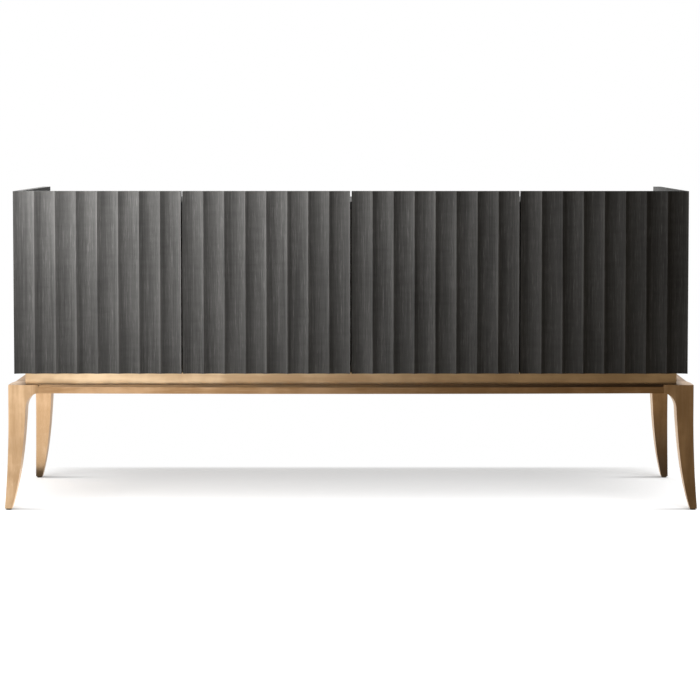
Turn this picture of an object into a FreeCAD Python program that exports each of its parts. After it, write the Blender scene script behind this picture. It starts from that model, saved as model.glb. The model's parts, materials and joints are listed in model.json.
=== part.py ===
import FreeCAD, Part
import math
import os

# Fluted sideboard buffet on a splayed metal base. Millimetres.
# +X is to the right seen from the front, the front faces -Y, +Z is up.
# The origin is on the floor, in the middle of the footprint.

V = FreeCAD.Vector
X_AXIS = V(1, 0, 0)
Y_AXIS = V(0, 1, 0)
Z_AXIS = V(0, 0, 1)
QUARTER_BEND = 0.5523          # pole distance that makes a cubic follow a quarter ellipse

# ---------------------------------------------------------------- driving dimensions

# Case
case_width = 1876.0            # across the outer faces of the side panels
case_depth = 508.0             # from the door arrises to the rear edge
case_height = 509.0            # side panels and doors
board = 22.0                   # sides, top, bottom and partitions
back_thickness = 8.0
top_recess = 30.0              # the top lies this far below the rim of the doors and sides

# Doors
door_gap = 4.0                 # between neighbouring doors
door_reveal = 3.0              # between a door's back and the case
door_core = 22.0               # thickness left at the bottom of a flute
flute_count = 8                # on each door
flute_depth = 6.0
heel_chamfer = 5.0             # back corner on the hinge side, so that it turns clear of the case
door_opening = 95.0            # degrees

# Shelves
shelf_thickness = 18.0
shelf_clearance = 1.0          # at each end
shelf_back_clearance = 2.0
shelf_front_setback = 24.0     # behind the case's front edge
shelf_pin_radius = 2.5
shelf_pin_depth = 9.0          # in the panel
shelf_pin_reach = 8.0          # out of the panel
shelf_hole_pitch = 32.0
shelf_holes_each_way = 2       # spare holes above and below the one in use
shelf_pin_from_front = 75.0
shelf_pin_from_back = 60.0

# Base
frame_top = 348.0
plinth_height = 32.0
rail_height = 24.0
rail_wall = 4.0
frame_side_margin = 18.0       # the base stands out past the case at each side
frame_front_inset = 5.0        # and lies inside it at the front and the rear
rail_recess = 6.0              # the rails lie inside the legs' outer faces
rail_bow = 14.0                # the front rail swells forward at its middle
rail_bevel = 6.0               # along the front rail's upper edge
plinth_setback = 30.0          # from the door arrises
plinth_side_setback = 26.0     # from the case's sides
plinth_thickness = 20.0
plinth_wall = 2.5
rail_behind_plinth = 3.0       # the rails reach this far in behind the plinth
bearer_width = 30.0
bearer_wall = 3.0

# Legs
leg_width = 47.5               # under the knee
foot_width = 19.7
foot_splay_x = 9.0
foot_splay_y = 16.0
splay_start = 270.0            # height where the outer faces begin to curve out
knee_height = 47.0             # the curve between leg and rail
knee_reach = 35.0
calf_pull = (0.14, 0.36)       # the inner curve's two poles: how far they are drawn in, of the taper
calf_height = (0.35, 0.69)     # and how far down, of the leg below the knee
glide_height = 4.0
glide_radius = 8.0
glide_stem_radius = 2.5
glide_stem_length = 14.0

# Pivot hinges
hinge_from_end = 40.0          # centre, from the bay's floor or ceiling
pin_radius = 2.0
pin_running_clearance = 0.05
pin_behind_flute = 4.0         # pin centre, behind the flute bottoms
sweep_margin = 0.5             # the opening door stays this far from its neighbour
eye_radius = 4.0
arm_thickness = 3.0
arm_half_width = 3.5
arm_clearance = 0.4            # between the arm and the leaf plates above and below it
leaf_thickness = 2.5
arm_plate_thickness = 2.5
arm_plate_length = 38.0
arm_plate_half_height = 20.0
arm_plate_setback = 5.0        # behind the case's front edge
arm_plate_margin = 4.0         # the plate runs on this far past the arm's root
arm_screw_place = 0.6          # of the plate's length
arm_corner_clearance = 0.4     # between the arm and the front corner of the wall it passes
elbow_offset = 8.0             # arm's elbow, at least this far from the mounting plate
elbow_setback = 8.0            # and behind the case's front edge
leaf_front = 2.0               # the leaf's plates reach this far in front of the pin
leaf_plate_end = 34.0          # and this far along the door from it
leaf_flange_start = 20.0       # from the pin
leaf_flange_end = 52.0
leaf_screw_from_end = 9.0
leaf_flange_half_height = 18.0
slot_clearance = 0.5

# Fasteners and fittings
wood_screw_radius = 1.75
wood_screw_head = 3.5
wood_screw_length = 14.0
hinge_screw_spacing = 22.0
frame_screw_radius = 2.5
frame_screw_head = 5.0
pilot_clearance = 0.05
dowel_radius = 4.0
dowel_length = 30.0
dowel_in_face = 12.0           # the rest is in the end of the other board
dowel_rows = 3
dowel_from_end = 60.0          # first and last row, from the front and the rear of the board
case_screw_bite = 14.0         # into the case's bottom
case_screw_head_height = 3.0
plinth_screw_bite = 4.0        # past the plinth's lower wall
brace_thickness = 4.0
brace_height = 18.0
brace_span = 66.0              # along each rail, from the corner
brace_flange = 26.0
brace_screw_from_end = 9.0
brace_screw_bite = 2.0         # past the rail's wall
leg_bolt_radius = 4.0
leg_bolt_bite = 22.0           # into the leg
leg_bolt_head_radius = 6.5
leg_bolt_head_height = 5.3
catch_width = 40.0
catch_depth = 17.0
catch_height = 10.0
catch_gap = 0.4                # magnet to strike plate
magnet_lead = 1.0              # the magnet stands out of its housing
catch_from_edge = 34.0         # catch centre, from the door's free edge
magnet_width = 28.0
magnet_height = 5.0
magnet_length = 12.0
strike_radius = 9.0
strike_thickness = 1.5
bumper_radius = 4.0
bumper_gap = 0.4
bumper_from_edge = 12.0

# ---------------------------------------------------------------- derived places

case_bottom = frame_top + plinth_height
case_top = case_bottom + case_height
side_x = case_width / 2
inner_x = side_x - board
ridge_y = -case_depth / 2
case_back_y = case_depth / 2
door_thickness = door_core + flute_depth
door_back_y = ridge_y + door_thickness
case_front_y = door_back_y + door_reveal
top_z = case_top - top_recess
ceiling_z = top_z - board
floor_z = case_bottom + board
back_front_y = case_back_y - back_thickness

door_width = (case_width - 3 * door_gap) / 4
flute_pitch = door_width / flute_count
partition_x = door_width + door_gap

rail_bottom = frame_top - rail_height
frame_x = side_x + frame_side_margin
frame_y = case_depth / 2 - frame_front_inset
plinth_x = side_x - plinth_side_setback
plinth_y = case_depth / 2 - plinth_setback
rail_inner_x = plinth_x - plinth_thickness - rail_behind_plinth
rail_inner_y = plinth_y - plinth_thickness - rail_behind_plinth
knee_end = leg_width + knee_reach
front_rail_half = frame_x - knee_end
side_rail_half = frame_y - knee_end

pin_depth = flute_depth + pin_behind_flute
sweep = door_gap - sweep_margin
pin_from_edge = (pin_depth ** 2 - sweep ** 2) / (2 * sweep) + sweep_margin
pin_y = ridge_y + pin_depth
back_from_pin = door_back_y - pin_y
hinge_heights = (floor_z + hinge_from_end, ceiling_z - hinge_from_end)
plate_gap = arm_thickness / 2 + arm_clearance
leaf_outer = plate_gap + leaf_thickness

shelf_z = (floor_z + ceiling_z) / 2 - shelf_thickness / 2
shelf_front_y = case_front_y + shelf_front_setback
shelf_back_y = back_front_y - shelf_back_clearance
shelf_pin_z = shelf_z - shelf_pin_radius
shelf_pin_ys = (shelf_front_y + shelf_pin_from_front, shelf_back_y - shelf_pin_from_back)

# name: (left edge, +1 if hinged on the left edge or -1 on the right, x of the wall face that holds its arms)
doors = {
    "door_left": (-side_x, 1, -inner_x),
    "door_centre_left": (-partition_x + door_gap / 2, 1, -partition_x + board / 2),
    "door_centre_right": (door_gap / 2, -1, partition_x - board / 2),
    "door_right": (partition_x + door_gap / 2, -1, inner_x),
}

# ---------------------------------------------------------------- helpers


def box(low, high):
    size = V(*high) - V(*low)
    return Part.makeBox(size.x, size.y, size.z, V(*low))


def prism(edges, along):
    """A closed outline of edges, pushed out by the vector along."""
    return Part.Face(Part.Wire(edges)).extrude(along)


def polygon_prism(points, along):
    corners = [V(*p) for p in points]
    return Part.Face(Part.makePolygon(corners + corners[:1])).extrude(along)


def rod(start, direction, radius, length):
    return Part.makeCylinder(radius, length, V(*start), direction)


def fuse(shapes):
    return shapes[0].multiFuse(shapes[1:]).removeSplitter() if len(shapes) > 1 else shapes[0]


def cut(shape, tools):
    return shape.cut(tools)


def mirror_x(shape):
    return shape.mirror(V(0, 0, 0), X_AXIS)


def mirror_y(shape):
    return shape.mirror(V(0, 0, 0), Y_AXIS)


def save(name, shapes):
    solids = [s for shape in shapes for s in shape.Solids]
    whole = solids[0] if len(solids) == 1 else Part.makeCompound(solids)
    whole.exportStep(os.path.join("parts", name + ".step"))


def countersunk_screw(start, direction, radius, head, length, clearance=0.0):
    """The head's flat top is at start and the tip is length along. With a clearance it is the hole."""
    cone_height = head - radius
    cone = Part.makeCone(head + clearance, radius + clearance, cone_height, V(*start), direction)
    shank = rod(start, direction, radius + clearance, length + clearance)
    return cone.fuse(shank).removeSplitter()


# ---------------------------------------------------------------- case


def dowel_ys():
    first = case_front_y + dowel_from_end
    last = back_front_y - dowel_from_end
    return [first + (last - first) * i / (dowel_rows - 1) for i in range(dowel_rows)]


def side_dowels(grow=0.0):
    """Left-hand dowels, from the side panel's inner face into the ends of the top and the bottom."""
    heights = (case_bottom + board / 2, top_z - board / 2)
    start = -inner_x - dowel_in_face - grow
    return [
        rod((start, y, z), X_AXIS, dowel_radius + grow, dowel_length + 2 * grow)
        for y in dowel_ys()
        for z in heights
    ]


def partition_dowels(grow=0.0):
    """Dowels of the left partition: they stand up into the top and down into the bottom."""
    shapes = []
    for y in dowel_ys():
        low = floor_z - dowel_in_face - grow
        high = ceiling_z + dowel_in_face + grow
        shapes.append(rod((-partition_x, y, low), Z_AXIS, dowel_radius + grow, dowel_length + 2 * grow))
        shapes.append(rod((-partition_x, y, high), -Z_AXIS, dowel_radius + grow, dowel_length + 2 * grow))
    return shapes


def shelf_holes(face_x, outward):
    """A column of pin holes at the front and one at the back of a wall. outward points into the bay."""
    steps = range(-shelf_holes_each_way, shelf_holes_each_way + 1)
    start = face_x - outward * shelf_pin_depth
    return [
        rod(
            (start, y, shelf_pin_z + i * shelf_hole_pitch),
            X_AXIS * outward,
            shelf_pin_radius + pilot_clearance,
            shelf_pin_depth + pilot_clearance,
        )
        for y in shelf_pin_ys
        for i in steps
    ]


def side_panel():
    """The left side panel, full height, with its holes."""
    panel = box((-side_x, case_front_y, case_bottom), (-inner_x, case_back_y, case_top))
    holes = side_dowels(pilot_clearance) + arm_screws("door_left", pilot_clearance)
    holes += shelf_holes(-inner_x, 1)
    return cut(panel, holes)


def partition():
    """The left partition. It carries the arms of the centre left door."""
    panel = box(
        (-partition_x - board / 2, case_front_y, floor_z),
        (-partition_x + board / 2, back_front_y, ceiling_z),
    )
    holes = partition_dowels(pilot_clearance) + arm_screws("door_centre_left", pilot_clearance)
    holes += shelf_holes(-partition_x - board / 2, -1) + shelf_holes(-partition_x + board / 2, 1)
    return cut(panel, holes)


def top_panel():
    panel = box((-inner_x, case_front_y, ceiling_z), (inner_x, case_back_y, top_z))
    dowels = side_dowels(pilot_clearance) + partition_dowels(pilot_clearance)
    return cut(panel, dowels + [mirror_x(d) for d in dowels])


def bottom_panel():
    panel = box((-inner_x, case_front_y, case_bottom), (inner_x, case_back_y, floor_z))
    dowels = side_dowels(pilot_clearance) + partition_dowels(pilot_clearance)
    return cut(panel, dowels + [mirror_x(d) for d in dowels] + case_screws(pilot_clearance))


def back_panel():
    return box((-inner_x, back_front_y, floor_z), (inner_x, case_back_y, ceiling_z))


def shelf(low_x, high_x):
    low = (low_x + shelf_clearance, shelf_front_y, shelf_z)
    high = (high_x - shelf_clearance, shelf_back_y, shelf_z + shelf_thickness)
    return box(low, high)


def shelf_pins():
    """Four pins in each bay."""
    walls = [(-inner_x, 1), (-partition_x - board / 2, -1), (-partition_x + board / 2, 1)]
    walls += [(-x, -outward) for x, outward in walls]
    length = shelf_pin_depth + shelf_pin_reach
    return [
        rod((x - outward * shelf_pin_depth, y, shelf_pin_z), X_AXIS * outward, shelf_pin_radius, length)
        for x, outward in walls
        for y in shelf_pin_ys
    ]


# ---------------------------------------------------------------- doors and hinges


def pin_x(name):
    left, hand, _ = doors[name]
    return left + pin_from_edge if hand > 0 else left + door_width - pin_from_edge


def elbow_x(name):
    """Far enough into the bay for the arm to pass the wall's front corner and clear its own plate."""
    _, hand, face = doors[name]
    beside = hand * (face - pin_x(name))
    behind = case_front_y - pin_y
    clear = math.asin((arm_half_width + arm_corner_clearance) / math.hypot(beside, behind))
    turn = math.atan2(beside, behind) + clear
    past_corner = pin_x(name) + hand * (behind + elbow_setback) * math.tan(turn)
    past_plate = face + hand * (arm_plate_thickness + elbow_offset)
    return hand * max(hand * past_corner, hand * past_plate)


def arm(name, z):
    """The fixed half of a pivot hinge: a plate on the case wall with an arm out to the pin."""
    _, hand, face = doors[name]
    px = pin_x(name)
    plate_x = face + hand * arm_plate_thickness
    elbow = V(elbow_x(name), case_front_y + elbow_setback, z - arm_thickness / 2)
    eye = V(px, pin_y, z - arm_thickness / 2)
    plate_y = case_front_y + arm_plate_setback
    plate = box(
        (min(face, plate_x), plate_y, z - arm_plate_half_height),
        (max(face, plate_x), plate_y + arm_plate_length, z + arm_plate_half_height),
    )
    reach = elbow - eye
    across = V(-reach.y, reach.x, 0).normalize() * arm_half_width
    up = Z_AXIS * arm_thickness
    strip = polygon_prism([eye + across, elbow + across, elbow - across, eye - across], up)
    root_far = elbow.x + hand * arm_half_width
    root = box(
        (min(plate_x, root_far), elbow.y, elbow.z),
        (max(plate_x, root_far), plate_y + arm_plate_length - arm_plate_margin, elbow.z + arm_thickness),
    )
    ring = Part.makeCylinder(eye_radius, arm_thickness, eye)
    knuckle = Part.makeCylinder(arm_half_width, arm_thickness, elbow)
    bore = hinge_pin(name, z, pin_running_clearance)
    return cut(fuse([plate, strip, root, ring, knuckle]), [bore] + arm_screws_at(name, z, pilot_clearance))


def arm_screws_at(name, z, clearance=0.0):
    """Two screws that hold one mounting plate to the case wall, with their heads flush in the plate."""
    _, hand, face = doors[name]
    start_x = face + hand * arm_plate_thickness
    y = case_front_y + arm_plate_setback + arm_plate_length * arm_screw_place
    return [
        countersunk_screw(
            (start_x, y, z + side * hinge_screw_spacing / 2),
            X_AXIS * -hand,
            wood_screw_radius,
            wood_screw_head,
            wood_screw_length,
            clearance,
        )
        for side in (-1, 1)
    ]


def arm_screws(name, clearance=0.0):
    return [screw for z in hinge_heights for screw in arm_screws_at(name, z, clearance)]


def hinge_leaf(name, z):
    """The door's half: two plates around the arm, joined by a flange in the door's back."""
    _, hand, _ = doors[name]
    px = pin_x(name)
    flange_front = back_from_pin - leaf_thickness
    outline = [
        (0, -leaf_front),
        (leaf_plate_end, -leaf_front),
        (leaf_plate_end, flange_front),
        (leaf_flange_start, flange_front),
        (0, eye_radius),
    ]
    plates = []
    for bottom in (-leaf_outer, plate_gap):
        corners = [(px + hand * u, pin_y + v, z + bottom) for u, v in outline]
        plates.append(polygon_prism(corners, Z_AXIS * leaf_thickness))
        plates.append(Part.makeCylinder(eye_radius, leaf_thickness, V(px, pin_y, z + bottom)))
    ends = sorted((px + hand * leaf_flange_start, px + hand * leaf_flange_end))
    flange = box(
        (ends[0], door_back_y - leaf_thickness, z - leaf_flange_half_height),
        (ends[1], door_back_y, z + leaf_flange_half_height),
    )
    return cut(fuse(plates + [flange]), [hinge_pin(name, z)] + leaf_screws_at(name, z, pilot_clearance))


def leaf_screws_at(name, z, clearance=0.0):
    _, hand, _ = doors[name]
    x = pin_x(name) + hand * (leaf_flange_end - leaf_screw_from_end)
    return [
        countersunk_screw(
            (x, door_back_y, z + side * hinge_screw_spacing / 2),
            Y_AXIS * -1,
            wood_screw_radius,
            wood_screw_head,
            wood_screw_length,
            clearance,
        )
        for side in (-1, 1)
    ]


def hinge_pin(name, z, clearance=0.0):
    return rod((pin_x(name), pin_y, z - leaf_outer), Z_AXIS, pin_radius + clearance, 2 * leaf_outer)


def hinge_slot(name, z):
    """The pocket in the door for a leaf, open to the back and the hinge edge so that the arm can swing."""
    _, hand, _ = doors[name]
    px = pin_x(name)
    height = leaf_outer + slot_clearance
    pocket = []
    for far, front in (
        (px - hand * (pin_from_edge + slot_clearance), arm_half_width),
        (px + hand * (leaf_plate_end + slot_clearance), leaf_front),
    ):
        low = (min(px, far), pin_y - front - slot_clearance, z - height)
        high = (max(px, far), door_back_y + slot_clearance, z + height)
        pocket.append(box(low, high))
    nose = rod((px, pin_y, z - height), Z_AXIS, eye_radius + slot_clearance, 2 * height)
    flange_ends = sorted((
        px + hand * (leaf_flange_start - slot_clearance),
        px + hand * (leaf_flange_end + slot_clearance),
    ))
    rebate = box(
        (flange_ends[0], door_back_y - leaf_thickness, z - leaf_flange_half_height - slot_clearance),
        (flange_ends[1], door_back_y + slot_clearance, z + leaf_flange_half_height + slot_clearance),
    )
    return pocket + [nose, rebate]


def free_edge_x(name, inward):
    """A place on the door, the distance inward from its free edge."""
    left, hand, _ = doors[name]
    return left + door_width - inward if hand > 0 else left + inward


def strike_plate(name, clearance=0.0):
    start = (free_edge_x(name, catch_from_edge), door_back_y - strike_thickness, catch_z)
    return rod(start, Y_AXIS, strike_radius + clearance, strike_thickness)


def door(name):
    """A solid door whose front is a row of shallow hollow flutes that meet in sharp arrises."""
    left, hand, _ = doors[name]
    right = left + door_width
    edges = []
    for i in range(flute_count):
        start = V(left + i * flute_pitch, ridge_y, case_bottom)
        end = V(left + (i + 1) * flute_pitch, ridge_y, case_bottom)
        middle = (start + end) * 0.5 + V(0, flute_depth, 0)
        edges.append(Part.Arc(start, middle, end).toShape())
    hinge_edge, free_edge = (left, right) if hand > 0 else (right, left)
    back = [
        V(free_edge, ridge_y, case_bottom),
        V(free_edge, door_back_y, case_bottom),
        V(hinge_edge + hand * heel_chamfer, door_back_y, case_bottom),
        V(hinge_edge, door_back_y - heel_chamfer, case_bottom),
        V(hinge_edge, ridge_y, case_bottom),
    ]
    edges += [Part.makeLine(a, b) for a, b in zip(back, back[1:])]
    panel = prism(edges, Z_AXIS * case_height)
    tools = [strike_plate(name, pilot_clearance)]
    for z in hinge_heights:
        tools += hinge_slot(name, z) + leaf_screws_at(name, z, pilot_clearance)
    return cut(panel, tools)


# ---------------------------------------------------------------- catches and bumpers

catch_z = ceiling_z - catch_height / 2
magnet_front_y = door_back_y + catch_gap
catch_front_y = magnet_front_y + magnet_lead


def magnet(name):
    x = free_edge_x(name, catch_from_edge)
    return box(
        (x - magnet_width / 2, magnet_front_y, catch_z - magnet_height / 2),
        (x + magnet_width / 2, magnet_front_y + magnet_length, catch_z + magnet_height / 2),
    )


def catch_housing(name):
    x = free_edge_x(name, catch_from_edge)
    block = box(
        (x - catch_width / 2, catch_front_y, catch_z - catch_height / 2),
        (x + catch_width / 2, catch_front_y + catch_depth, catch_z + catch_height / 2),
    )
    return block.cut(magnet(name))


def bumpers(name):
    """Two soft dots on the case's front edges, near the door's free edge."""
    x = free_edge_x(name, catch_from_edge + catch_width / 2 + bumper_from_edge)
    length = door_reveal - bumper_gap
    heights = (case_bottom + board / 2, top_z - board / 2)
    return [rod((x, case_front_y, z), -Y_AXIS, bumper_radius, length) for z in heights]


# ---------------------------------------------------------------- base


def bezier(*poles):
    curve = Part.BezierCurve()
    curve.setPoles([V(*p) for p in poles])
    return curve.toShape()


def leg_outline(splay, point):
    """A leg seen from one side, from its outer corner inwards. point turns (inward, z) into a 3-D point."""
    foot_in = foot_width - splay
    taper = leg_width - foot_in
    knee_bottom = rail_bottom - knee_height
    drop = knee_bottom - glide_height
    corners = [
        (0, splay_start),
        (0, frame_top),
        (knee_end, frame_top),
        (knee_end, rail_bottom),
    ]
    edges = [Part.makeLine(V(*point(*a)), V(*point(*b))) for a, b in zip(corners, corners[1:])]
    edges.append(bezier(
        point(knee_end, rail_bottom),
        point(knee_end - QUARTER_BEND * knee_reach, rail_bottom),
        point(leg_width, knee_bottom + QUARTER_BEND * knee_height),
        point(leg_width, knee_bottom),
    ))
    edges.append(bezier(
        point(leg_width, knee_bottom),
        point(leg_width - calf_pull[0] * taper, knee_bottom - calf_height[0] * drop),
        point(leg_width - calf_pull[1] * taper, knee_bottom - calf_height[1] * drop),
        point(foot_in, glide_height),
    ))
    edges.append(Part.makeLine(V(*point(foot_in, glide_height)), V(*point(-splay, glide_height))))
    edges.append(bezier(
        point(-splay, glide_height),
        point(0, (splay_start + glide_height) / 2),
        point(0, splay_start),
    ))
    return edges


def leg_plan():
    """The front left leg from above: an L whose ends meet the rails, its outer faces drawn in to them."""
    inner_u = frame_x - rail_inner_x
    inner_v = frame_y - rail_inner_y
    margin = 2 * max(foot_splay_x, foot_splay_y)
    outline = [
        (-margin, -margin),
        (leg_width, -margin),
        (leg_width, 0),
        (knee_end, rail_recess),
        (knee_end, inner_v),
        (inner_u, inner_v),
        (inner_u, knee_end),
        (rail_recess, knee_end),
        (0, leg_width),
        (-margin, leg_width),
    ]
    corners = [(-frame_x + u, -frame_y + v, 0) for u, v in outline]
    return polygon_prism(corners, Z_AXIS * frame_top)


def front_left_leg():
    span = 2 * knee_end + 4 * (foot_splay_x + foot_splay_y)
    front = prism(
        leg_outline(foot_splay_x, lambda u, z: (-frame_x + u, -frame_y - span / 4, z)),
        Y_AXIS * span,
    )
    side = prism(
        leg_outline(foot_splay_y, lambda v, z: (-frame_x - span / 4, -frame_y + v, z)),
        X_AXIS * span,
    )
    leg = front.common(side).common(leg_plan()).removeSplitter()
    return cut(leg, [glide_stem(pilot_clearance), leg_bolt(pilot_clearance)])


def glide_centre():
    return V(
        -frame_x - foot_splay_x + foot_width / 2,
        -frame_y - foot_splay_y + foot_width / 2,
        0,
    )


def glide_stem(clearance=0.0):
    start = glide_centre() + Z_AXIS * glide_height
    return Part.makeCylinder(glide_stem_radius + clearance, glide_stem_length + clearance, start)


def foot_glide():
    disc = Part.makeCylinder(glide_radius, glide_height, glide_centre())
    return disc.fuse(glide_stem()).removeSplitter()


def front_rail():
    """A bowed tube between the front legs, with a bevel along its upper front edge."""
    half = front_rail_half
    inner = -rail_inner_y
    face = -frame_y + rail_recess

    def bowed(offset, low, high):
        start = V(-half, face + offset, low)
        middle = V(0, face - rail_bow + offset, low)
        end = V(half, face + offset, low)
        back_right = V(half, inner - offset, low)
        back_left = V(-half, inner - offset, low)
        edges = [
            Part.Arc(start, middle, end).toShape(),
            Part.makeLine(end, back_right),
            Part.makeLine(back_right, back_left),
            Part.makeLine(back_left, start),
        ]
        return prism(edges, Z_AXIS * (high - low))

    body = bowed(0.0, rail_bottom, frame_top)
    upper = [
        edge
        for edge in body.Edges
        if isinstance(edge.Curve, Part.Circle) and abs(edge.BoundBox.ZMin - frame_top) < 0.01
    ]
    body = body.makeChamfer(rail_bevel, upper)
    hollow = bowed(rail_wall, rail_bottom + rail_wall, frame_top - rail_wall)
    screws = plinth_screws_y(-1, pilot_clearance) + all_brace_screws(pilot_clearance)
    return cut(body, [hollow] + screws)


def back_rail():
    low = (-front_rail_half, rail_inner_y, rail_bottom)
    high = (front_rail_half, frame_y - rail_recess, frame_top)
    wall = V(0, rail_wall, rail_wall)
    hollow = box(V(*low) + wall, V(*high) - wall)
    screws = plinth_screws_y(1, pilot_clearance) + all_brace_screws(pilot_clearance)
    return cut(box(low, high), [hollow] + screws)


def side_rail():
    """The left side rail, a wide flat tube whose top shows beside the plinth."""
    low = (-frame_x + rail_recess, -side_rail_half, rail_bottom)
    high = (-rail_inner_x, side_rail_half, frame_top)
    wall = V(rail_wall, 0, rail_wall)
    hollow = box(V(*low) + wall, V(*high) - wall)
    screws = plinth_screws_x(pilot_clearance) + all_brace_screws(pilot_clearance)
    return cut(box(low, high), [hollow] + screws)


def tube(low, high, wall):
    """A box tube. wall holds the wall thickness on the axes across the tube and 0 along it."""
    return box(low, high).cut(box(V(*low) + wall, V(*high) - wall))


def plinth_long(side):
    ys = sorted((side * plinth_y, side * (plinth_y - plinth_thickness)))
    bar = tube(
        (-plinth_x, ys[0], frame_top),
        (plinth_x, ys[1], case_bottom),
        V(0, plinth_wall, plinth_wall),
    )
    return cut(bar, plinth_screws_y(side, pilot_clearance))


def plinth_short():
    reach = plinth_y - plinth_thickness
    bar = tube(
        (-plinth_x, -reach, frame_top),
        (-plinth_x + plinth_thickness, reach, case_bottom),
        V(plinth_wall, 0, plinth_wall),
    )
    return cut(bar, plinth_screws_x(pilot_clearance))


def plinth_screw(x, y, clearance):
    """It goes up through the rail, its head flush in the rail's underside, into the plinth's lower wall."""
    length = rail_height + plinth_wall + plinth_screw_bite
    start = (x, y, rail_bottom)
    return countersunk_screw(start, Z_AXIS, frame_screw_radius, frame_screw_head, length, clearance)


def plinth_screws_y(side, clearance=0.0):
    y = side * (plinth_y - plinth_thickness / 2)
    return [plinth_screw(bay * partition_x, y, clearance) for bay in (-1.5, -0.5, 0.5, 1.5)]


def plinth_screws_x(clearance=0.0):
    x = -plinth_x + plinth_thickness / 2
    return [plinth_screw(x, y, clearance) for y in (-side_rail_half / 2, side_rail_half / 2)]


def bearer(x):
    """A folded steel channel, open below, from rail to rail. It carries the case."""
    half = bearer_width / 2
    low = (x - half, -rail_inner_y, rail_bottom)
    high = (x + half, rail_inner_y, case_bottom)
    hollow = box(
        (x - half + bearer_wall, -rail_inner_y, rail_bottom),
        (x + half - bearer_wall, rail_inner_y, case_bottom - bearer_wall),
    )
    return cut(box(low, high), [hollow] + case_screws(pilot_clearance))


bearer_xs = (-partition_x, 0.0, partition_x)


def case_screws(clearance=0.0):
    """Pan-head screws up through the bearers into the case's bottom."""
    shapes = []
    for x in bearer_xs:
        for y in (-rail_inner_y / 2, rail_inner_y / 2):
            under = case_bottom - bearer_wall
            length = bearer_wall + case_screw_bite + clearance
            shank = rod((x, y, under), Z_AXIS, frame_screw_radius + clearance, length)
            head = rod((x, y, under), -Z_AXIS, frame_screw_head, case_screw_head_height)
            shapes.append(shank.fuse(head).removeSplitter())
    return shapes


def corner_brace():
    """The brace inside the front left corner: a diagonal strip with a flange against each rail."""
    corner = V(-rail_inner_x, -rail_inner_y, 0)
    low = rail_bottom + (rail_height - brace_height) / 2
    t = brace_thickness
    outer = brace_span + brace_flange
    bend = brace_span + t * (math.sqrt(2) - 1)
    outline = [
        (outer, 0),
        (outer, t),
        (bend, t),
        (t, bend),
        (t, outer),
        (0, outer),
        (0, brace_span),
        (brace_span, 0),
    ]
    points = [(corner.x + u, corner.y + v, low) for u, v in outline]
    strip = polygon_prism(points, Z_AXIS * brace_height)
    return cut(strip, [leg_bolt(pilot_clearance)] + brace_screws(pilot_clearance))


def brace_screws(clearance=0.0):
    z = frame_top - rail_height / 2
    t = brace_thickness
    place = brace_span + brace_flange - brace_screw_from_end
    corner = V(-rail_inner_x, -rail_inner_y, z)
    radius, head = wood_screw_radius, wood_screw_head
    length = t + rail_wall + brace_screw_bite
    return [
        countersunk_screw(corner + V(place, t, 0), Y_AXIS * -1, radius, head, length, clearance),
        countersunk_screw(corner + V(t, place, 0), X_AXIS * -1, radius, head, length, clearance),
    ]


def all_brace_screws(clearance=0.0):
    return [s for screw in brace_screws(clearance) for s in four_corners(screw)]


def leg_bolt(clearance=0.0):
    """The bolt that draws the leg into its corner, square to the brace."""
    inward = V(1, 1, 0).normalize()
    z = frame_top - rail_height / 2
    face = V(-rail_inner_x, -rail_inner_y, z) + inward * (brace_span / math.sqrt(2) + brace_thickness)
    length = brace_thickness + brace_span / math.sqrt(2) + leg_bolt_bite + clearance
    shank = rod(face, -inward, leg_bolt_radius + clearance, length)
    head = rod(face, inward, leg_bolt_head_radius, leg_bolt_head_height)
    return shank.fuse(head).removeSplitter()


def four_corners(shape):
    right = mirror_x(shape)
    return [shape, right, mirror_y(shape), mirror_y(right)]


# ---------------------------------------------------------------- build

os.makedirs("parts", exist_ok=True)

left_side = side_panel()
save("side_panel_left", [left_side])
save("side_panel_right", [mirror_x(left_side)])
left_partition = partition()
save("partition_left", [left_partition])
save("partition_right", [mirror_x(left_partition)])
save("top_panel", [top_panel()])
save("bottom_panel", [bottom_panel()])
save("back_panel", [back_panel()])
save("shelf_left", [shelf(-inner_x, -partition_x - board / 2)])
save("shelf_centre", [shelf(-partition_x + board / 2, partition_x - board / 2)])
save("shelf_right", [shelf(partition_x + board / 2, inner_x)])
save("shelf_pins", shelf_pins())
left_dowels = side_dowels() + partition_dowels()
save("case_dowels", left_dowels + [mirror_x(d) for d in left_dowels])

for door_name in doors:
    save(door_name, [door(door_name)])
    save(door_name + "_hinge_leaves", [hinge_leaf(door_name, z) for z in hinge_heights])
    save(door_name + "_hinge_pins", [hinge_pin(door_name, z) for z in hinge_heights])
    save(door_name + "_screws", [s for z in hinge_heights for s in leaf_screws_at(door_name, z)])
    save(door_name + "_strike_plate", [strike_plate(door_name)])
for arms_name, arm_doors in (
    ("hinge_arms_sides", ("door_left", "door_right")),
    ("hinge_arms_partitions", ("door_centre_left", "door_centre_right")),
):
    save(arms_name, [arm(n, z) for n in arm_doors for z in hinge_heights])
save("hinge_arm_screws", [s for n in doors for s in arm_screws(n)])
save("catch_housings", [catch_housing(n) for n in doors])
save("catch_magnets", [magnet(n) for n in doors])
save("door_bumpers", [b for n in doors for b in bumpers(n)])

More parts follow.
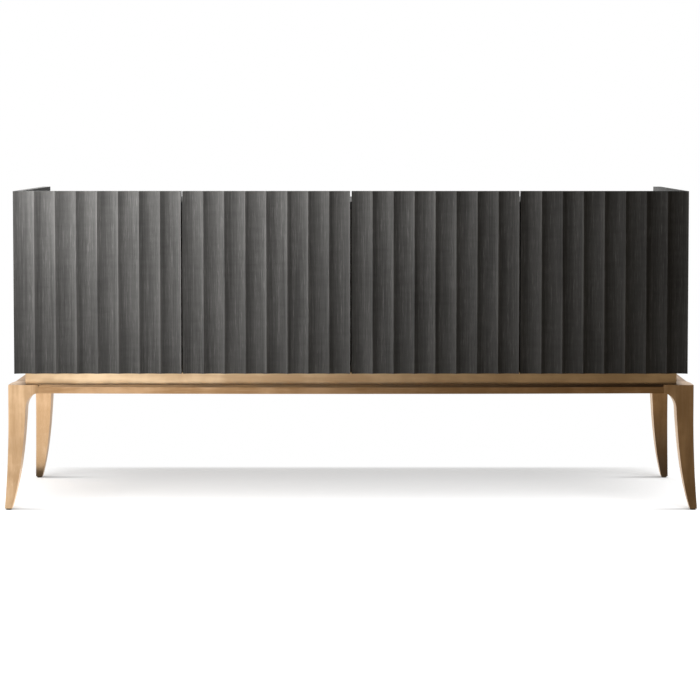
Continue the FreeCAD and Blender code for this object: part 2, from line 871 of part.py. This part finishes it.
leg = front_left_leg()
for leg_name, shape in zip(
    ("leg_front_left", "leg_front_right", "leg_back_left", "leg_back_right"),
    four_corners(leg),
):
    save(leg_name, [shape])
save("foot_glides", four_corners(foot_glide()))
save("rail_front", [front_rail()])
save("rail_back", [back_rail()])
left_rail = side_rail()
save("rail_left", [left_rail])
save("rail_right", [mirror_x(left_rail)])
save("plinth_front", [plinth_long(-1)])
save("plinth_back", [plinth_long(1)])
left_plinth = plinth_short()
save("plinth_left", [left_plinth])
save("plinth_right", [mirror_x(left_plinth)])
long_screws = plinth_screws_y(-1) + plinth_screws_y(1)
short_screws = plinth_screws_x()
save("plinth_screws", long_screws + short_screws + [mirror_x(s) for s in short_screws])
for bearer_name, bearer_x in zip(("bearer_left", "bearer_centre", "bearer_right"), bearer_xs):
    save(bearer_name, [bearer(bearer_x)])
save("case_screws", case_screws())
save("corner_braces", four_corners(corner_brace()))
save("leg_bolts", four_corners(leg_bolt()))
save("brace_screws", all_brace_screws())

print("door width", round(door_width, 2), "flute pitch", round(flute_pitch, 2))
print("pin from edge", round(pin_from_edge, 2), "pin behind arrises", pin_depth)
for name in doors:
    print(name, "axis at", round(pin_x(name), 3), round(pin_y, 3))
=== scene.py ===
import json
import math

import bmesh
import bpy
from mathutils import Matrix, Vector

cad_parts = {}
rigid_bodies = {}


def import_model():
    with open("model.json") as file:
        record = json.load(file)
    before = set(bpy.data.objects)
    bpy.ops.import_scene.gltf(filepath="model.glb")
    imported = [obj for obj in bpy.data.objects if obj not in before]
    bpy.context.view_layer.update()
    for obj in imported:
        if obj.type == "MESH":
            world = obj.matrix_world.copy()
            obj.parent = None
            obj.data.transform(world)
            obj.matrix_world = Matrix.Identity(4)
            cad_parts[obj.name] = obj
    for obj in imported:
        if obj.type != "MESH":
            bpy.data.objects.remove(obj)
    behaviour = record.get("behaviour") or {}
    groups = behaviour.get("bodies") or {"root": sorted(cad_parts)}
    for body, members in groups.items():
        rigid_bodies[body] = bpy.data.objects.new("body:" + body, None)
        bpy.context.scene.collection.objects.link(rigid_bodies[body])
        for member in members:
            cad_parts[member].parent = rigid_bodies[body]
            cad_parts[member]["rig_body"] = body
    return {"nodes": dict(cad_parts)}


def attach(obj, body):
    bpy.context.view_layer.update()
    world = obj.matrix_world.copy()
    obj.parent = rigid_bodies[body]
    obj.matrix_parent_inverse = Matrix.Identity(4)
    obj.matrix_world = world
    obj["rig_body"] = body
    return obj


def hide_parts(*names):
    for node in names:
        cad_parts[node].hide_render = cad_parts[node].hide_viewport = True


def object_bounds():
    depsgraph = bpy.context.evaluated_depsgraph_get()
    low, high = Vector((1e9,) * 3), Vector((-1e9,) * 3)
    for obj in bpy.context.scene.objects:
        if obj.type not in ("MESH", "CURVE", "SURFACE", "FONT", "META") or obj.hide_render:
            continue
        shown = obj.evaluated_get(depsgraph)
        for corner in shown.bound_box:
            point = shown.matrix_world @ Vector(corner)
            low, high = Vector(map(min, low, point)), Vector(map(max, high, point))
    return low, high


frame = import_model()
cad_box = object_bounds()


# The base frame: four splayed legs under a slim frame of rails, all in satin gold on brass.
# Each leg turns the corner as one casting, wide under its knee and narrow at its foot, and the
# rails are screwed between the knees. The metal is brushed along each piece and lightly aged.

class Wire:
    """One output of a shader tree. Arithmetic on it adds Math nodes."""

    def __init__(self, tree, socket):
        self.tree, self.socket = tree, socket

    def node(self, kind, settings, inputs, output=0):
        """Adds a node with its settings, then its inputs, and gives back one of its outputs."""
        made = self.tree.nodes.new("ShaderNode" + kind)
        for key, value in settings.items():
            setattr(made, key, value)
        for key, value in inputs.items():
            if isinstance(value, Wire):
                self.tree.links.new(value.socket, made.inputs[key])
            else:
                made.inputs[key].default_value = value
        return Wire(self.tree, made.outputs[output])

    def maths(self, operation, first, second):
        return self.node("Math", {"operation": operation}, {0: first, 1: second})

    def __add__(self, other):
        return self.maths("ADD", self, other)

    def __radd__(self, other):
        return self.maths("ADD", other, self)

    def __sub__(self, other):
        return self.maths("SUBTRACT", self, other)

    def __rsub__(self, other):
        return self.maths("SUBTRACT", other, self)

    def __mul__(self, other):
        return self.maths("MULTIPLY", self, other)

    def __rmul__(self, other):
        return self.maths("MULTIPLY", other, self)

    def size(self):
        """The value without its sign."""
        return self.node("Math", {"operation": "ABSOLUTE"}, {0: self})

    def axis(self, number):
        """The X, Y or Z of a place, as 0, 1 or 2."""
        return self.node("SeparateXYZ", {}, {"Vector": self}, output=number)

    def ramp(self, low, high):
        """0 below low, 1 above high and a smooth rise between them."""
        settings = {"interpolation_type": "SMOOTHSTEP"}
        return self.node("MapRange", settings, {"Value": self, "From Min": low, "From Max": high})

    def blend(self, first, second):
        """This wire's share of the second colour in the first, each a wire or three numbers."""
        first, second = (c if isinstance(c, Wire) else (*c, 1) for c in (first, second))
        return self.node("Mix", {"data_type": "RGBA"}, {0: self, 6: first, 7: second}, output=2)


class Finish:
    """A material with one Principled shader. Its place wire is the piece's own coordinates."""

    def __init__(self, name, metal, roughness):
        self.material = bpy.data.materials.new(name)
        self.material.use_nodes = True
        self.tree = self.material.node_tree
        self.shader = self.tree.nodes["Principled BSDF"]
        self.set(Metallic=metal, Roughness=roughness)
        coordinates = self.tree.nodes.new("ShaderNodeTexCoord")
        self.place = Wire(self.tree, coordinates.outputs["Object"])

    def set(self, **sockets):
        """Sets or links the shader's sockets, named with _ for a space."""
        for name, value in sockets.items():
            target = self.shader.inputs[name.replace("_", " ")]
            if isinstance(value, Wire):
                self.tree.links.new(value.socket, target)
            else:
                target.default_value = value

    def noise(self, scale, detail=2.0, rough=0.5, shift=(0, 0, 0)):
        """Noise from about 0.25 to 0.75, with its own scale along each axis, in cycles per metre."""
        placed = self.place.node(
            "Mapping", {}, {"Vector": self.place, "Scale": scale, "Location": shift})
        return placed.node(
            "TexNoise", {}, {"Vector": placed, "Scale": 1.0, "Detail": detail, "Roughness": rough})

    def relief(self, height, depth, strength):
        """A bump of that depth in metres where height goes from 0 to 1."""
        bump = height.node("Bump", {}, {"Strength": strength, "Distance": depth, "Height": height})
        self.set(Normal=bump)


def brushed_brass(name, along, tones, shaded_inner_tones=None):
    """Satin gold with brush lines along one axis: 0 is X, 1 is Y and 2 is Z.

    tones are its bright and its aged colour. shaded_inner_tones, where given, are the darker tones of
    painted shade that it takes nearer the middle, where a leg runs into the rails.
    """
    gold = Finish(name, 1.0, 0.36)
    line_scale, band_scale = [900.0] * 3, [60.0] * 3
    line_scale[along], band_scale[along] = 9.0, 4.0
    lines = gold.noise(line_scale, 3.0, 0.6)
    bands = gold.noise(band_scale, 3.0, 0.55)
    patches = gold.noise((9, 9, 9), 4.0, 0.6)
    aged = (patches * 0.7 + bands * 0.5).ramp(0.45, 0.72)
    tone = aged.blend(*tones)
    if shaded_inner_tones:
        fade_start, fade_end = 0.855, 0.905
        outward = gold.place.axis(0).size()
        tone = outward.ramp(fade_start, fade_end).blend(aged.blend(*shaded_inner_tones), tone)
    polished, polished_share = (0.95, 0.74, 0.50), 0.3
    tone = (lines.ramp(0.45, 0.75) * polished_share).blend(tone, polished)
    gold.set(Base_Color=tone, Roughness=0.27 + aged * 0.1 + lines * 0.14)
    gold.relief(lines * 0.6 + bands * 0.4, depth=0.00025, strength=0.5)
    return gold.material


def eased(node, name, finish, width):
    """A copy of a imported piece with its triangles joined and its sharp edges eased, in its place."""
    weld, flat = 0.00001, math.radians(0.5)
    sharp_turn, smooth_turn = math.radians(30), math.radians(38)
    source = frame["nodes"][node]
    shape = bmesh.new()
    shape.from_mesh(source.data)
    bmesh.ops.remove_doubles(shape, verts=shape.verts, dist=weld)
    bmesh.ops.dissolve_limit(shape, angle_limit=flat, verts=shape.verts, edges=shape.edges)
    sharp = [e for e in shape.edges if e.is_manifold and e.calc_face_angle() > sharp_turn]
    bmesh.ops.bevel(
        shape, geom=sharp, offset=width, offset_type="OFFSET", affect="EDGES",
        segments=2, profile=0.5, material=-1, clamp_overlap=True,
    )
    for face in shape.faces:
        face.smooth = True
    mesh = bpy.data.meshes.new(name)
    shape.to_mesh(mesh)
    shape.free()
    mesh.materials.clear()
    mesh.materials.append(finish)
    mesh.set_sharp_from_angle(angle=smooth_turn)
    piece = bpy.data.objects.new(name, mesh)
    bpy.context.scene.collection.objects.link(piece)
    weighted = piece.modifiers.new("even_faces", "WEIGHTED_NORMAL")
    weighted.keep_sharp = True
    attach(piece, source["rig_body"])
    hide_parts(node)


def dressed(node, finish):
    """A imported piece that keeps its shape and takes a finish."""
    mesh = frame["nodes"][node].data
    mesh.materials.clear()
    mesh.materials.append(finish)


brass_edge = 0.0007
leg_tones = (0.81, 0.565, 0.35), (0.66, 0.43, 0.24)
# The rails' tones are the same brass painted darker, as painted shade; the legs fade into them inward.
rail_shaded_tones = (0.62, 0.395, 0.225), (0.48, 0.285, 0.14)
leg_brass = brushed_brass("leg_brass", 2, leg_tones, rail_shaded_tones)
long_rail_brass = brushed_brass("long_rail_brass", 0, rail_shaded_tones)
short_rail_brass = brushed_brass("short_rail_brass", 1, rail_shaded_tones)

for corner in ("front_left", "front_right", "back_left", "back_right"):
    eased("leg_" + corner, "brass_leg_" + corner, leg_brass, brass_edge)
long_sides, short_sides = ("front", "back"), ("left", "right")
for sides, finish in ((long_sides, long_rail_brass), (short_sides, short_rail_brass)):
    for side in sides:
        eased("rail_" + side, "brass_rail_" + side, finish, brass_edge)


# The plinth: four flat brass bars on edge that carry the case a little above the rails.
# They stand back from the case on all sides, and screws come up through them from below.

# The plinth's tones are the same brass painted paler, as a painted highlight.
plinth_highlight_tones = (0.95, 0.73, 0.49), (0.80, 0.58, 0.36)
long_plinth_brass = brushed_brass("long_plinth_brass", 0, plinth_highlight_tones)
short_plinth_brass = brushed_brass("short_plinth_brass", 1, plinth_highlight_tones)
for sides, finish in ((long_sides, long_plinth_brass), (short_sides, short_plinth_brass)):
    for side in sides:
        eased("plinth_" + side, "brass_plinth_" + side, finish, brass_edge)


# The steel under the case: folded bearers across the frame, corner braces behind the knees,
# and their bolts and screws. The steel is coated black, and the fastenings are zinc plated.

black_steel = Finish("black_coated_steel", 0.0, 0.5)
speckle = black_steel.noise((900, 900, 900), 3.0)
cloud = black_steel.noise((20, 20, 20), 3.0)
black_steel.set(
    Base_Color=cloud.blend((0.012, 0.012, 0.013), (0.03, 0.03, 0.031)),
    Roughness=0.42 + speckle * 0.2,
)
black_steel.relief(speckle, depth=0.0001, strength=0.6)

zinc = Finish("zinc_plate", 1.0, 0.35)
bloom = zinc.noise((160, 160, 160), 3.0)
zinc.set(
    Base_Color=bloom.blend((0.50, 0.51, 0.53), (0.68, 0.69, 0.70)),
    Roughness=0.22 + bloom * 0.25,
)

steel_edge = 0.0003
for side in ("left", "centre", "right"):
    eased("bearer_" + side, "steel_bearer_" + side, black_steel.material, steel_edge)
dressed("corner_braces", black_steel.material)
for node in ("leg_bolts", "brace_screws", "plinth_screws", "case_screws"):
    dressed(node, zinc.material)


# The foot glides: small turned discs of bronze-coloured nylon on stems in the feet, which keep
# the metal off the floor.

nylon = Finish("bronze_nylon", 0.0, 0.45)
scuffs = nylon.noise((300, 300, 300), 3.0)
nylon.set(
    Base_Color=scuffs.blend((0.20, 0.14, 0.08), (0.30, 0.22, 0.14)),
    Roughness=0.4 + scuffs * 0.25,
)
dressed("foot_glides", nylon.material)


# The case: oak-faced boards stained charcoal, with light filler left in the open pores.
# The sides run past the top to make a low gallery, and the other boards are doweled between them.

def stained_oak(name, grain, tones, seed):
    """Stained oak with its grain along one axis. tones are its dark, its light and its filler.

    Its colour is kept on the finish as a wire, for a piece that paints a highlight over it.
    """
    oak = Finish(name, 0.0, 0.5)
    oak.set(Specular_IOR_Level=0.15)
    dark, light, filler = tones
    shift = (seed * 3.1, seed * 1.7, seed * 2.3)

    def grained(across, lengthwise, detail, rough):
        scale = [across] * 3
        scale[grain] = lengthwise
        return oak.noise(scale, detail, rough, shift)

    streaks = grained(330, 5.5, 4.0, 0.7)
    years = grained(60, 1.6, 2.0, 0.5)
    pores = grained(900, 26, 2.0, 0.6)
    figure = grained(14, 75, 3.0, 0.6)
    clouds = grained(6, 5, 3.0, 0.55)
    tone = (streaks * 0.66 + years * 0.34).ramp(0.32, 0.68)
    lift = tone * 0.62 + figure * 0.44 + clouds * 0.62 - 0.36
    filled, filled_share = pores.ramp(0.54, 0.68) * tone.ramp(0.1, 0.8), 0.62
    oak.colour = (filled * filled_share).blend(lift.blend(dark, light), filler)
    oak.set(Base_Color=oak.colour, Roughness=0.40 + pores * 0.16 + streaks * 0.1)
    oak.relief(streaks * 0.5 - filled * 0.6, depth=0.0004, strength=0.6)
    return oak


charcoal = (0.036, 0.0354, 0.0344), (0.082, 0.0805, 0.078), (0.145, 0.142, 0.138)
case_edge = 0.0008
case_upright = stained_oak("charcoal_oak_upright", 2, charcoal, seed=0)
case_across = stained_oak("charcoal_oak_across", 0, charcoal, seed=1)
for node in ("side_panel_left", "side_panel_right"):
    eased(node, "oak_" + node, case_upright.material, case_edge)
eased("top_panel", "oak_top_panel", case_across.material, case_edge)


# Inside the case: bottom, partitions, back and adjustable shelves in a lighter smoked oak.
# Shelves rest on steel pins in the walls, and beech dowels hold the boards' ends.

smoked = (0.11, 0.095, 0.08), (0.29, 0.25, 0.21), (0.40, 0.36, 0.31)
inside_edge = 0.0006
inside_upright = stained_oak("smoked_oak_upright", 2, smoked, seed=2)
inside_across = stained_oak("smoked_oak_across", 0, smoked, seed=3)
for node in ("partition_left", "partition_right"):
    eased(node, "oak_" + node, inside_upright.material, inside_edge)
for node in ("bottom_panel", "back_panel", "shelf_left", "shelf_centre", "shelf_right"):
    eased(node, "oak_" + node, inside_across.material, inside_edge)

beech = Finish("pale_beech", 0.0, 0.6)
flecks = beech.noise((700, 700, 700))
beech.set(Base_Color=flecks.blend((0.50, 0.34, 0.20), (0.62, 0.45, 0.29)))
dressed("case_dowels", beech.material)
dressed("shelf_pins", zinc.material)


# The doors: thick oak fronts worked into eight upright hollows that meet in crisp arrises.
# They overlay the case and stand up past its top, and the arrises carry a painted highlight, in
# patches.

doors = ("door_left", "door_centre_left", "door_centre_right", "door_right")
door_edge, arris_highlight_depth, arris_highlight_share = 0.0005, 0.0032, 0.42
arris_highlight_tone = charcoal[2]
arris_front = -min(corner.co.y for corner in frame["nodes"]["door_left"].data.vertices)
door_oak = stained_oak("fluted_charcoal_oak", 2, charcoal, seed=4)
# Painted highlight: the oak is lightened, in patches, within a few millimetres of each arris's front.
forward = 0 - door_oak.place.axis(1)
arris_highlight_patches = door_oak.noise((14, 14, 3)).ramp(0.3, 0.7)
arris_highlight = forward.ramp(arris_front - arris_highlight_depth, arris_front) * arris_highlight_patches * arris_highlight_share
door_oak.set(Base_Color=arris_highlight.blend(door_oak.colour, arris_highlight_tone))
for node in doors:
    eased(node, "oak_" + node, door_oak.material, door_edge)


# The door hardware: brass hinge leaves and arms on steel pins, steel strikes for the magnets,
# plastic catch housings under the top and small rubber bumpers at the doors' backs.

hinge_brass = Finish("plain_hinge_brass", 1.0, 0.3)
tarnish = hinge_brass.noise((70, 70, 70), 4.0, 0.6)
hinge_brass.set(
    Base_Color=tarnish.blend((0.80, 0.58, 0.28), (0.58, 0.39, 0.17)),
    Roughness=0.2 + tarnish * 0.25,
)
black_plastic = Finish("black_moulded_plastic", 0.0, 0.5)
pebble = black_plastic.noise((1500, 1500, 1500))
black_plastic.set(
    Base_Color=pebble.blend((0.012, 0.012, 0.012), (0.025, 0.025, 0.026)),
    Roughness=0.4 + pebble * 0.2,
)
black_plastic.relief(pebble, depth=0.00008, strength=0.6)
rubber = Finish("grey_rubber", 0.0, 0.8)
dust = rubber.noise((500, 500, 500), 3.0)
rubber.set(
    Base_Color=dust.blend((0.05, 0.05, 0.05), (0.10, 0.10, 0.10)),
    Roughness=0.65 + dust * 0.3,
)

for node in ("hinge_arms_sides", "hinge_arms_partitions", "hinge_arm_screws"):
    dressed(node, hinge_brass.material)
dressed("catch_housings", black_plastic.material)
dressed("catch_magnets", zinc.material)
dressed("door_bumpers", rubber.material)
for door in doors:
    dressed(door + "_hinge_leaves", hinge_brass.material)
    dressed(door + "_screws", hinge_brass.material)
    dressed(door + "_hinge_pins", zinc.material)
    dressed(door + "_strike_plate", zinc.material)


# The floor: white paper that takes only the soft shade of an overhead sun under the piece, with
# a faint painted contact shadow inward from each foot. It glows plain white from shaded_end backward.

floor_size, shaded_end, clear_start = 30.0, 0.40, 0.45
plane = bmesh.new()
bmesh.ops.create_grid(plane, x_segments=1, y_segments=1, size=floor_size)
mesh = bpy.data.meshes.new("floor")
plane.to_mesh(mesh)
plane.free()
floor = bpy.data.objects.new("floor", mesh)
bpy.context.scene.collection.objects.link(floor)
floor.visible_diffuse = False
floor.visible_glossy = False

paper = Finish("white_paper", 0.0, 0.9)
white, pale, glow, foot_shadow_tone, foot_shadow_glow, black = (
    (level,) * 3 for level in (1.0, 0.8, 0.33, 0.1, 0.033, 0.0))
# Painted shadow: in a strip inward from each foot, the paper is darker and glows dimmer.
foot_inset, foot_shadow_length, foot_shadow_half_width, foot_shadow_share = 0.013, 0.22, 0.03, 0.55
foot_x, foot_y = (far - foot_inset for far in cad_box[1][:2])
inward = foot_x - paper.place.axis(0).size()
beside = (paper.place.axis(1).size() - foot_y).size()
along_foot_shadow = inward.ramp(-0.02, 0.0) * (1 - inward.ramp(0.0, foot_shadow_length))
painted_foot_shadow = along_foot_shadow * (1 - beside.ramp(0.0, foot_shadow_half_width)) * foot_shadow_share
clear = paper.place.axis(1).ramp(shaded_end, clear_start)
paper.set(
    Base_Color=clear.blend(painted_foot_shadow.blend(pale, foot_shadow_tone), black),
    Emission_Color=clear.blend(painted_foot_shadow.blend(glow, foot_shadow_glow), painted_foot_shadow.blend(white, foot_shadow_tone)),
    Emission_Strength=1.0, Specular_IOR_Level=0.0,
)
mesh.materials.append(paper.material)


# The walls: plain white to the camera. What they give the piece is dim in front, with a warm low
# band that the metal mirrors, and bright behind, where it falls off to the right.

world = bpy.data.worlds.new("studio_walls")
bpy.context.scene.world = world
world.use_nodes = True
background = world.node_tree.nodes["Background"]
coordinates = world.node_tree.nodes.new("ShaderNodeTexCoord")
direction = Wire(world.node_tree, coordinates.outputs["Generated"])
rightward, backward, upward = (direction.axis(number) for number in range(3))
seen = direction.node("LightPath", {}, {}, output=0)
front_level, floor_level, band_level, back_level, seen_level = 0.006, 0.04, 0.25, 0.95, 1.0
warm_white = (1, 0.78, 0.5)
band = upward.ramp(-0.5, -0.26) * (1 - upward.ramp(-0.02, 0.1))
ahead = floor_level + upward.ramp(-0.3, 0.1) * (front_level - floor_level) + band * band_level
behind = backward.ramp(0.1, 0.6)
fall_off = 1 - rightward.ramp(0.05, 0.5) * 0.5
level = ahead * (1 - behind) + behind * fall_off * back_level
strength = level * (1 - seen) + seen * seen_level
tint = (band * (1 - behind) * (1 - seen)).blend(white, warm_white)
world.node_tree.links.new(strength.socket, background.inputs["Strength"])
world.node_tree.links.new(tint.socket, background.inputs["Color"])


# The lights: a key close to the left end, so that the fronts darken to the right, and two cards
# that the metal mirrors, one on the floor and one low in front. The sun lights the floor alone.

def light_group(name, state):
    """A group that keeps the floor in, or out, of what a light falls on."""
    group = bpy.data.collections.new(name)
    group.objects.link(floor)
    group.collection_objects[0].light_linking.link_state = state
    return group


all_but_floor = light_group("all_but_floor", "EXCLUDE")


def soft_light(name, place, target, width, height, power, spread):
    """A rectangular softbox from place to target, its light held to a cone of spread degrees."""
    lamp = bpy.data.lights.new(name, "AREA")
    lamp.shape, lamp.size, lamp.size_y = "RECTANGLE", width, height
    lamp.energy, lamp.spread = power, math.radians(spread)
    light = bpy.data.objects.new(name, lamp)
    bpy.context.scene.collection.objects.link(light)
    turn = (Vector(target) - Vector(place)).to_track_quat("-Z", "Y")
    light.matrix_world = Matrix.Translation(place) @ turn.to_matrix().to_4x4()
    light.visible_camera = False
    light.light_linking.receiver_collection = all_but_floor


soft_light(
    "key_light", (-2.58, -1.57, 2.59), (-1.47, -0.25, 1.88),
    width=0.47, height=0.34, power=108.0, spread=56,
)
soft_light(
    "floor_card", (-1.25, -1.75, 0.003), (-1.25, -1.75, 1.0),
    width=1.9, height=3.9, power=20.8, spread=180,
)
soft_light(
    "low_card", (-1.15, -2.7, 0.35), (-0.6, -0.25, 0.3),
    width=1.8, height=0.6, power=3.0, spread=150,
)

sun_lamp = bpy.data.lights.new("overhead", "SUN")
sun_lamp.energy, sun_lamp.angle = 4.8, math.radians(84)
sun = bpy.data.objects.new("overhead", sun_lamp)
bpy.context.scene.collection.objects.link(sun)
sun.rotation_euler = (math.radians(47), 0, 0)
sun.light_linking.receiver_collection = light_group("floor_only", "INCLUDE")


# The camera stands a little above the top, level with the middle, with a slight fall. The plain
# view transform keeps the white of the walls white.

camera_data = bpy.data.cameras.new("camera")
camera_data.lens = 98.3
camera_data.shift_x, camera_data.shift_y = -0.0162, -0.1782
camera = bpy.data.objects.new("camera", camera_data)
camera.location = (0.029, -5.554, 1.035)
camera.rotation_euler = (math.radians(87.4), 0, 0)
bpy.context.scene.collection.objects.link(camera)
bpy.context.scene.camera = camera
bpy.context.scene.view_settings.view_transform = "Standard"
